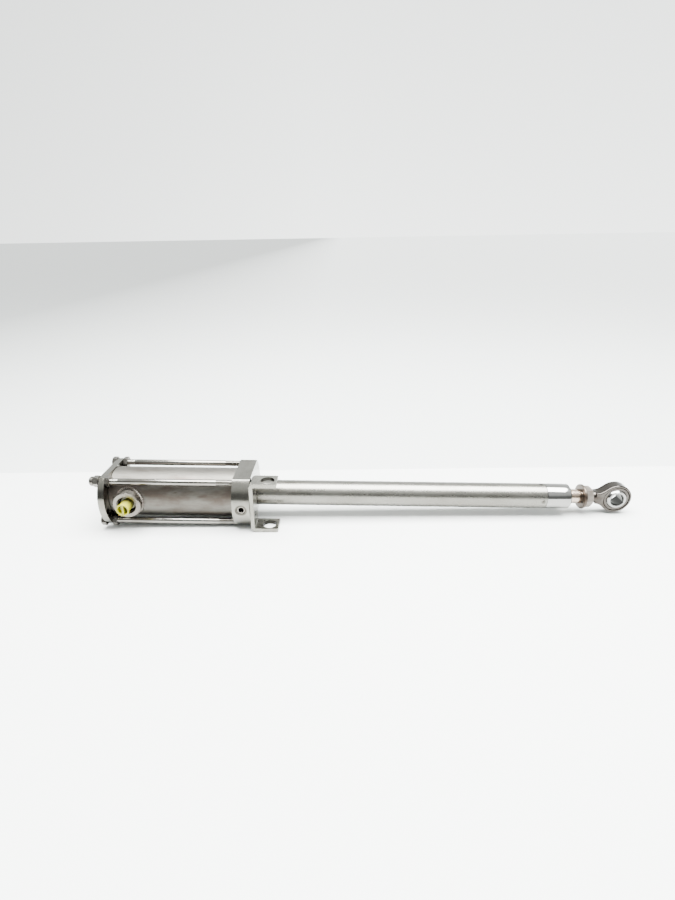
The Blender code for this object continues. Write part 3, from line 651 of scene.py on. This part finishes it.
def boss_weld():
    """Rippled fillet weld along the line where the boss meets the barrel."""
    shape = bmesh.new()
    around = 200
    across = 12
    size = 0.0019
    rings = []
    for i in range(around):
        angle = math.tau * i / around
        reach = BOSS_RADIUS + 0.0002
        z = reach * math.sin(angle)
        y = -math.sqrt(BARREL_RADIUS ** 2 - z * z)
        middle = Vector((PORT_X + reach * math.cos(angle), y, z))
        outward = Vector((math.cos(angle), 0.0, math.sin(angle)))
        ripple = 1.0 + 0.16 * math.sin(angle * 46.0) + 0.05 * math.sin(angle * 7.0)
        rings.append([shape.verts.new(
            middle + (outward * math.cos(t) + Vector((0.0, -1.0, 0.0)) * math.sin(t))
            * size * ripple) for t in (math.tau * k / across for k in range(across))])
    add_grid(shape, rings, closed=True)
    place("boss_weld_bead", mesh_from(shape, "weld", 60.0), WELD_METAL,
          "brushed_stainless", "cylinder")


def port_plug():
    """Yellow push-in plug: a cup with a rolled rim and a pull tab."""
    axis = near_axis(PORT_X)
    tip = -low("port_plug").y
    inner = -high("port_plug").y
    radius = 0.0078
    shank = high("port_plug").x - PORT_X
    seat = BOSS_FACE - 0.0085
    cup = radius - 0.0017
    floor = tip - 0.0060
    profile = eased([
        (0.0, inner), (shank - 0.0008, inner), (shank, seat - 0.0012),
        (radius + 0.0002, seat), (radius - 0.0009, seat + 0.0028),
        (radius - 0.0009, tip - 0.0026), (radius, tip - 0.0018), (radius, tip),
        (cup, tip), (cup - 0.0004, floor), (0.0, floor)], 0.0006, steps=3)
    place("port_dust_plug", turned("plug", profile, axis, ROUND), YELLOW_PLASTIC,
          "yellow_plastic", "plug", "port_plug")
    tab = [(PORT_X - 0.0013, -0.0064), (PORT_X + 0.0013, -0.0064),
           (PORT_X + 0.0013, 0.0064), (PORT_X - 0.0013, 0.0064)]
    web = carve(slab("tab", tab, -(tip - 0.0008), -(floor - 0.0005)), [], bevel=0.0004)
    place("port_plug_web", web, YELLOW_PLASTIC, "yellow_plastic", "plug")


# ---------------------------------------------------------------- tie rods and nuts
TIE_ROD_PITCH = 0.00141
CAP_THREAD = 0.0150         # thread reaches this far past the cap's inner face
HEAD_THREAD = 0.0205        # thread left showing behind the head


def tie_rods():
    for n in TIE_RODS:
        node = f"tie_rod_{n}"
        middle = centre(node)
        back = low(node).x
        front = high(node).x
        zones = ((back, CAP_FACE_X + CAP_THREAD),
                 (HEAD_BACK_X - HEAD_THREAD, HEAD_BACK_X + 0.0025))
        mesh = threaded(node, x_axis(middle.y, middle.z), back, front, TIE_ROD_RADIUS,
                        TIE_ROD_PITCH, 0.0006, zones)
        place(f"{node}_bar", mesh, TIE_ROD_METAL, "polished_stainless", "cylinder", node)
        for side in ("outer", "inner"):
            nut = f"{side}_nut_{n}"
            spot = centre(nut)
            mesh = hexagon(nut, x_axis(spot.y, spot.z), high(nut).z - low(nut).z,
                           TIE_ROD_RADIUS + GAP / 2, low(nut).x, high(nut).x)
            place(f"{nut}_hex", mesh, NUT_METAL, "machined_stainless", "cylinder", nut)


def end_cap():
    node = "tie_rod_end_cap"
    middle = centre(node)
    radius = (high(node).z - low(node).z) / 2
    back = low(node).x
    front = high(node).x
    bore = TIE_ROD_RADIUS + GAP
    dome = arc(radius - 0.0028, back + 0.0028, 0.0028, -90.0, 0.0, 10)
    profile = [(0.0, back)] + dome + [(radius, front - 0.0003), (radius - 0.0003, front),
                                      (bore, front), (bore, back + 0.0019),
                                      (0.0, back + 0.0019)]
    mesh = turned(node, profile, x_axis(middle.y, middle.z), ROUND)
    place("tie_rod_dome_cap", mesh, NUT_METAL, "machined_stainless", "cylinder", node)


# ---------------------------------------------------------------- bracket
def bracket():
    node = "mounting_bracket"
    back = low(node).x
    end = high(node).x
    outer = high(node).z
    plate = 0.0047
    bend = 0.0058
    inside = bend - plate
    web = back + plate
    points = [(end, outer)]
    points += arc(back + bend, outer - bend, bend, 90.0, 180.0, 10)
    points += arc(back + bend, bend - outer, bend, 180.0, 270.0, 10)
    points += [(end, -outer), (end, plate - outer)]
    points += arc(web + inside, plate + inside - outer, inside, 270.0, 180.0, 5)
    points += arc(web + inside, outer - plate - inside, inside, 180.0, 90.0, 5)
    points += [(end, outer - plate)]
    body = slab("bracket", points, low(node).y, high(node).y)
    upright = Axis(BRACKET_HOLE, (0.0, 0.0, 1.0), (1.0, 0.0, 0.0))
    tools = [rod_tool(upright, BRACKET_HOLE_RADIUS, -outer - 0.002, outer + 0.002, 96)]
    for label in ("upper", "lower"):
        spot = centre(f"bracket_screw_{label}")
        head = (high(f"bracket_screw_{label}").z - low(f"bracket_screw_{label}").z) / 2
        sink = [(0.0, web + 0.001), (head + 0.0012, web + 0.001), (0.0025, web - 0.0032),
                (0.0025, back - 0.001), (0.0, back - 0.001)]
        tools.append(turned("tool", sink, x_axis(spot.y, spot.z), 48))
    made = carve(body, tools, bevel=0.0005)
    place("bracket_u_plate", made, BRACKET_METAL, "machined_stainless", "cylinder", node)


def bracket_screws():
    """Countersunk socket screws."""
    for label in ("upper", "lower"):
        node = f"bracket_screw_{label}"
        spot = centre(node)
        head = (high(node).z - low(node).z) / 2
        front = high(node).x
        axis = x_axis(spot.y, spot.z)
        profile = [(0.0, front), (head, front), (head, front - 0.0002),
                   (0.0022, front - 0.0026), (0.0022, low(node).x), (0.0, low(node).x)]
        socket = turned("tool", [(0.0, front - 0.0016), (0.0016, front - 0.0016),
                                 (0.0016, front + 0.001), (0.0, front + 0.001)], axis, 6)
        made = carve(turned(node, profile, axis, 48), [socket])
        place(f"{node}_csk", made, NUT_METAL, "machined_stainless", "cylinder", node)


# ---------------------------------------------------------------- guide nose
def set_screw_axes():
    x = centre("set_screw_top").x
    for label, across in (("top", (0.0, 0.0, 1.0)), ("near", (0.0, -1.0, 0.0)),
                          ("bottom", (0.0, 0.0, -1.0)), ("far", (0.0, 1.0, 0.0))):
        yield label, Axis((x, 0.0, 0.0), across, (1.0, 0.0, 0.0))


def nose():
    back = low("nose_tube").x
    front = high("nose_tube").x
    bore = 0.0124
    profile = eased([(NOSE_RADIUS, front), (NOSE_RADIUS, back), (bore, back),
                     (bore, front)], 0.00035, closed=True)
    body = turned("nose", profile, x_axis(), 160, closed=True)
    tools = [rod_tool(axis, 0.0024, 0.011, 0.018, 40) for _, axis in set_screw_axes()]
    made = carve(body, tools)
    place("nose_guard_tube", made, NOSE_METAL, "polished_stainless", "cylinder",
          "nose_tube")
    for label, axis in set_screw_axes():
        radius = (high(f"set_screw_{label}").x - low(f"set_screw_{label}").x) / 2
        top = NOSE_RADIUS - 0.0005
        plug = turned("screw", [(0.0, bore), (radius, bore), (radius, top - 0.0003),
                                (radius - 0.0003, top), (0.0, top)], axis, 40)
        socket = turned("tool", [(0.0, top - 0.0014), (0.0011, top - 0.0014),
                                 (0.0011, top + 0.001), (0.0, top + 0.001)], axis, 6)
        made = carve(plug, [socket])
        place(f"set_screw_{label}_grub", made, NUT_METAL, "machined_stainless",
              "cylinder", f"set_screw_{label}")


def nose_bush():
    node = "nose_end_bush"
    end = high(node).x
    seam = high("nose_tube").x + GAP
    spigot = 0.0121
    bore = 0.0095
    seat = low("rod_wiper").x - GAP
    profile = [(0.0127, end), (NOSE_RADIUS - 0.0012, end), (NOSE_RADIUS, end - 0.0014),
               (NOSE_RADIUS, seam + 0.0005), (NOSE_RADIUS - 0.0005, seam),
               (spigot, seam), (spigot, low(node).x), (bore, low(node).x),
               (bore, seat), (0.0127, seat)]
    mesh = turned(node, eased(profile, 0.0003, closed=True), x_axis(), 160, closed=True)
    place("nose_bush_sleeve", mesh, BUSH_METAL, "polished_stainless", "cylinder", node)


def wiper():
    """Wiper ring with a thin lip that leans on the rod."""
    node = "rod_wiper"
    back = low(node).x
    front = high(node).x
    outer = high(node).z
    inner = 0.0095
    profile = [(outer, front - 0.0006), (outer, back), (inner + 0.0010, back),
               (inner, back + 0.0012), (inner + 0.0012, front - 0.0020),
               (inner, front), (inner + 0.0008, front), (inner + 0.0016, front - 0.0010)]
    mesh = turned(node, profile, x_axis(), FINE, closed=True)
    place("wiper_lip_ring", mesh, RUBBER, "black_rubber", "cylinder", node)


# ---------------------------------------------------------------- rod and rod end
def piston_rod():
    node = "piston_rod"
    radius = high(node).z
    front = high(node).x
    shoulder = high("piston").x + GAP
    stud = 0.0070
    back = low(node).x
    tapped = 0.0078
    profile = [(0.0, 0.5760), (tapped, 0.5770), (tapped, front - 0.0010),
               (tapped + 0.0008, front), (radius - 0.0008, front),
               (radius, front - 0.0008), (radius, shoulder), (stud, shoulder),
               (stud, back + 0.0008), (stud - 0.0008, back), (0.0, back)]
    mesh = turned(node, eased(profile, 0.0002), x_axis(), FINE)
    place("piston_rod_bar", mesh, ROD_METAL, "rod_steel", "rod", node)


def stop_disc():
    node = "rod_stop_disc"
    radius = high(node).z
    bore = 0.0078
    profile = eased([(bore, high(node).x), (radius, high(node).x), (radius, low(node).x),
                     (bore, low(node).x)], 0.0007, closed=True, steps=4)
    mesh = turned(node, profile, x_axis(), 128, closed=True)
    place("stop_disc_plate", mesh, DISC_METAL, "polished_stainless", "rod", node)


def jam_nut():
    node = "jam_nut"
    mesh = hexagon(node, x_axis(), high(node).z - low(node).z, 0.0077, low(node).x,
                   high(node).x)
    place("jam_nut_hex", mesh, JAM_NUT_METAL, "chromed_steel", "rod", node)


SHANK_RADIUS = 0.0075
NECK_START_X = 0.6200


def eye_outline():
    """Eye with a neck that widens from the shank on two smooth curves."""
    radius = high("rod_end_body").x - EYE.x
    tangent = math.radians(128.0)
    joint = Vector((EYE.x + radius * math.cos(tangent), radius * math.sin(tangent)))
    start = Vector((NECK_START_X, SHANK_RADIUS * 0.98))
    slope = Vector((math.sin(tangent), -math.cos(tangent)))
    controls = (start, start + Vector((0.0065, 0.0)), joint - slope * 0.0085, joint)
    flare = []
    for step in range(15):
        t = step / 14
        weights = ((1 - t) ** 3, 3 * t * (1 - t) ** 2, 3 * t * t * (1 - t), t ** 3)
        point = sum((c * w for c, w in zip(controls, weights)), Vector((0.0, 0.0)))
        flare.append((point.x, point.y))
    points = list(flare)
    points += arc(EYE.x, 0.0, radius, 128.0, -128.0, 72)[1:-1]
    points += [(x, -z) for x, z in reversed(flare)]
    return points


def rod_end():
    node = "rod_end_body"
    half = high(node).y
    back = low(node).x
    half_eye = min(half, -low("rod_end_race").y + 0.00045)
    forging = slab(node, eye_outline(), -half_eye, half_eye)
    shank = threaded("shank", x_axis(), back, NECK_START_X + 0.007, SHANK_RADIUS,
                     0.00141, 0.0007, ((back, NECK_START_X - 0.0025),), chamfer=0.0010,
                     steps=48)
    axis = Axis(EYE, (0.0, -1.0, 0.0), (1.0, 0.0, 0.0))
    outer = high("rod_end_race").x - EYE.x
    seat = rod_tool(axis, outer + 0.0002, -0.012, 0.012, 128)
    made = carve(forging, [("UNION", shank), seat], bevel_first=0.0042,
                 first_segments=7)
    place("rod_end_forging", made, CHROME_METAL, "chromed_steel", "rod", node)
    width = high("rod_end_race").y
    seat_radius = BALL_RADIUS + 0.00015
    limit = math.degrees(math.asin(width / seat_radius))
    race = [(outer - 0.0009, width), (outer, width - 0.0009), (outer, 0.0009 - width),
            (outer - 0.0009, -width)]
    race += arc(0.0, 0.0, seat_radius, -limit, limit, 24)
    place("race_ring", turned("race", race, axis, 128, closed=True), CHROME_METAL,
          "chromed_steel", "rod", "rod_end_race")
    face = high("rod_end_ball").y
    limit = math.degrees(math.asin(face / BALL_RADIUS))
    bore = 0.00795
    ball = arc(0.0, 0.0, BALL_RADIUS, limit, -limit, 40)
    ball += [(bore + 0.0009, -face), (bore, 0.0009 - face), (bore, face - 0.0009),
             (bore + 0.0009, face)]
    place("bearing_ball", turned("ball", ball, axis, 128, closed=True), BALL_METAL,
          "chromed_steel", "ball", "rod_end_ball")


# ---------------------------------------------------------------- inner CAD nodes
def dress_inner_nodes():
    """The pieces inside keep their CAD shape and get a finished material."""
    finishes = {
        PLATE_METAL: ("piston", "piston_nut"),
        RUBBER: ("cap_oring", "head_oring", "rod_seal", "cap_bumper", "head_bumper",
                 "piston_seal_back", "piston_seal_front"),
        BRONZE_METAL: ("rod_guide_bush",),
        RING_PLASTIC: ("piston_wear_ring",),
    }
    for finish, names in finishes.items():
        for name in names:
            for material_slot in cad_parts[name].material_slots:
                material_slot.material = finish


# ---------------------------------------------------------------- stage, light, camera
TABLE_SLOPE = 0.0265        # the table's rise per metre towards the rod end
SHEET_BACK_Y = 0.130        # where the white table ends behind the object


def plain(name, colour, roughness):
    made, nodes, links = new_material(name)
    shader = nodes["Principled BSDF"]
    shade = noise(nodes, links, (3.0, 3.0, 3.0), 2.0, 0.5)
    paler = tuple(min(1.0, 1.02 * c) for c in colour)
    links.new(mixed(nodes, links, shade, colour, paler), shader.inputs["Base Color"])
    shader.inputs["Roughness"].default_value = roughness
    return made


def table_height(x):
    """The table touches the bracket's lower front edge."""
    foot = Vector((high("mounting_bracket").x, 0.0, low("mounting_bracket").z))
    return foot.z - 0.0001 + (x - foot.x) * TABLE_SLOPE


def stage_sheet(name, span_x, span_y, drop, finish):
    shape = bmesh.new()
    corners = []
    (low_x, high_x), (low_y, high_y) = span_x, span_y
    for x, y in ((low_x, low_y), (high_x, low_y), (high_x, high_y), (low_x, high_y)):
        corners.append(shape.verts.new((x, y, table_height(x) - drop)))
    shape.faces.new(corners)
    made = bpy.data.objects.new(name, mesh_from(shape, name))
    made.data.materials.append(finish)
    bpy.context.scene.collection.objects.link(made)


def glowing(material, span_x, strengths, colour):
    """Light the floor softly from within, less towards the cap's side."""
    nodes = material.node_tree.nodes
    links = material.node_tree.links
    shader = nodes["Principled BSDF"]
    where = nodes.new("ShaderNodeTexCoord")
    parts = nodes.new("ShaderNodeSeparateXYZ")
    links.new(where.outputs["Object"], parts.inputs["Vector"])
    strength = spread(nodes, links, parts.outputs["X"], span_x, strengths)
    shader.inputs["Emission Color"].default_value = (*colour, 1.0)
    links.new(strength, shader.inputs["Emission Strength"])
    return material


def stage():
    stage_sheet("table_sheet", (-2.5, 3.1), (-0.46, SHEET_BACK_Y), 0.0,
                plain("white_sheet", (0.60, 0.607, 0.60), 0.7))
    stage_sheet("studio_floor", (-40.0, 40.0), (-40.0, 40.0), 0.004,
                glowing(plain("pale_floor", (0.28, 0.292, 0.288), 0.8),
                        (-1.3, 0.2), (0.8, 2.5), (0.965, 1.0, 0.98)))


BRIGHTEST = 4.0             # the world's strongest light


def sky():
    """A plain studio: bright overhead, a dim band low on the camera's side."""
    world = bpy.data.worlds.new("studio")
    bpy.context.scene.world = world
    world.use_nodes = True
    nodes = world.node_tree.nodes
    links = world.node_tree.links
    background = nodes["Background"]
    where = nodes.new("ShaderNodeTexCoord")
    parts = nodes.new("ShaderNodeSeparateXYZ")
    links.new(where.outputs["Generated"], parts.inputs["Vector"])
    front = ramp(nodes, links, parts.outputs["Z"], (
        (-90, 0.5), (0, 0.45), (20, 0.5), (32, 1.6), (45, 2.1), (60, 2.3), (90, 2.3)))
    rear = ramp(nodes, links, parts.outputs["Z"], (
        (-90, 4.0), (0, 3.7), (25, 2.7), (45, 2.5), (90, 2.3)))
    blend = nodes.new("ShaderNodeMix")
    blend.data_type = "FLOAT"
    side = spread(nodes, links, parts.outputs["Y"], (-0.25, 0.25), (0.0, 1.0))
    links.new(side, blend.inputs["Factor"])
    floats = [s for s in blend.inputs if s.type == "VALUE" and s.name in ("A", "B")]
    links.new(front, floats[0])
    links.new(rear, floats[1])
    level = [s for s in blend.outputs if s.type == "VALUE"][0]
    background.inputs["Color"].default_value = (0.965, 1.0, 0.98, 1.0)
    dim_side = spread(nodes, links, parts.outputs["X"], (-0.65, -0.05), (0.66, 1.0))
    shaded = nodes.new("ShaderNodeMath")
    shaded.operation = "MULTIPLY"
    links.new(level, shaded.inputs[0])
    links.new(dim_side, shaded.inputs[1])
    links.new(shaded.outputs[0], background.inputs["Strength"])


def ramp(nodes, links, source, stops):
    """Brightness by elevation in degrees, up to BRIGHTEST."""
    half = nodes.new("ShaderNodeMath")
    half.operation = "MULTIPLY_ADD"
    half.inputs[1].default_value = 0.5
    half.inputs[2].default_value = 0.5
    links.new(source, half.inputs[0])
    made = nodes.new("ShaderNodeValToRGB")
    elements = made.color_ramp.elements
    elements.remove(elements[-1])
    for i, (elevation, value) in enumerate(stops):
        place_at = (math.sin(math.radians(elevation)) + 1.0) / 2.0
        stop = elements[0] if i == 0 else elements.new(place_at)
        stop.position = place_at
        stop.color = (*[value / BRIGHTEST] * 3, 1.0)
    links.new(half.outputs[0], made.inputs["Fac"])
    scale = nodes.new("ShaderNodeMath")
    scale.operation = "MULTIPLY"
    scale.inputs[1].default_value = BRIGHTEST
    links.new(made.outputs["Color"], scale.inputs[0])
    return scale.outputs[0]


def softbox(name, place_at, aim, width, height, power):
    light = bpy.data.lights.new(name, "AREA")
    light.shape = "RECTANGLE"
    light.size = width
    light.size_y = height
    light.energy = power
    light.color = (0.975, 1.0, 0.985)
    made = bpy.data.objects.new(name, light)
    made.location = place_at
    facing = Vector(aim) - Vector(place_at)
    made.rotation_euler = facing.to_track_quat("-Z", "Y").to_euler()
    bpy.context.scene.collection.objects.link(made)


def camera():
    data = bpy.data.cameras.new("camera")
    data.sensor_width = 36.0
    data.lens = 19.2
    data.clip_start = 0.01
    data.clip_end = 50.0
    made = bpy.data.objects.new("camera", data)
    aim = Euler((math.radians(90.0 - 24.34), 0.0, math.radians(0.19))).to_matrix()
    roll = Matrix.Rotation(math.radians(0.67), 3, "Z")
    made.matrix_world = (Matrix.Translation((0.2911, -0.5427, 0.3064))
                         @ (aim @ roll).to_4x4())
    bpy.context.scene.collection.objects.link(made)
    bpy.context.scene.camera = made


cap_plate()
head_block()
head_port_insert()
barrel()
port_boss()
boss_weld()
port_plug()
tie_rods()
end_cap()
bracket()
bracket_screws()
nose()
nose_bush()
wiper()
piston_rod()
stop_disc()
jam_nut()
rod_end()
dress_inner_nodes()
stage()
sky()
softbox("overhead_softbox", (0.42, -0.05, 1.3), (0.42, -0.05, 0.0), 1.9, 1.0, 300.0)
camera()
